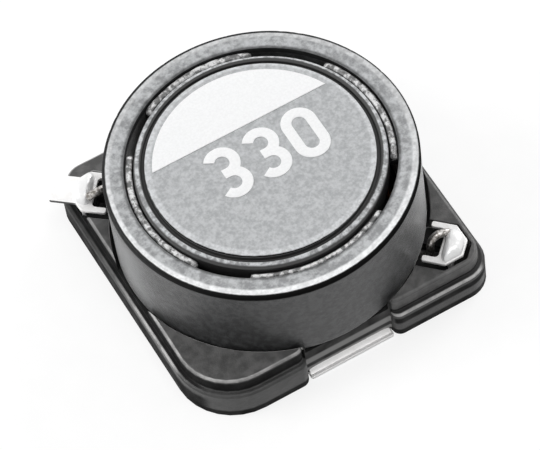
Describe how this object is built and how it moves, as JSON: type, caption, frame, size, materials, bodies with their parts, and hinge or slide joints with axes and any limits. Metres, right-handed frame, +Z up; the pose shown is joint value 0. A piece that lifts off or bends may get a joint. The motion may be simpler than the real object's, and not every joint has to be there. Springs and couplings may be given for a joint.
{
  "type": "shielded surface-mount power inductor",
  "caption": "Shielded surface-mount inductor: a wound ferrite bobbin inside a ferrite ring, glued to a square moulded base with folded solder terminals.",
  "frame": {"origin": "centre of the base's underside, on the axis of the ring and the bobbin", "axes": "+Z up through the axis of the cores, +X along the edge the value digits are read from, +Y towards the printed half-moon field, -Y towards the front pad"},
  "size_m": [0.0132, 0.0126, 0.0058],
  "materials": {
    "base_resin": "moulded black resin, satin",
    "ring_ferrite": "sintered grey ferrite, ground top, darker tumbled wall",
    "drum_ferrite": "sintered grey ferrite, ground top, fine mottle",
    "enamelled_wire": "copper wire under clear enamel",
    "tinned_sheet": "bright tin plate on folded sheet",
    "solder": "bright reflowed solder",
    "gap_adhesive": "cured grey adhesive, glossy and uneven",
    "seat_adhesive": "cured adhesive film",
    "white_ink": "printed white ink"
  },
  "bodies": {
    "root": {"base": "base_resin", "ring_core": "ring_ferrite", "drum_core": "drum_ferrite", "winding": "enamelled_wire", "start_lead": "enamelled_wire", "finish_lead": "enamelled_wire", "front_terminal": "tinned_sheet", "back_terminal": "tinned_sheet", "front_solder": "solder", "back_solder": "solder", "gap_bead_front": "gap_adhesive", "gap_bead_right": "gap_adhesive", "gap_bead_back": "gap_adhesive", "gap_bead_left": "gap_adhesive", "ring_adhesive": "seat_adhesive", "drum_adhesive": "seat_adhesive", "polarity_field": "white_ink", "value_digits": "white_ink"}
  },
  "joints": []
}
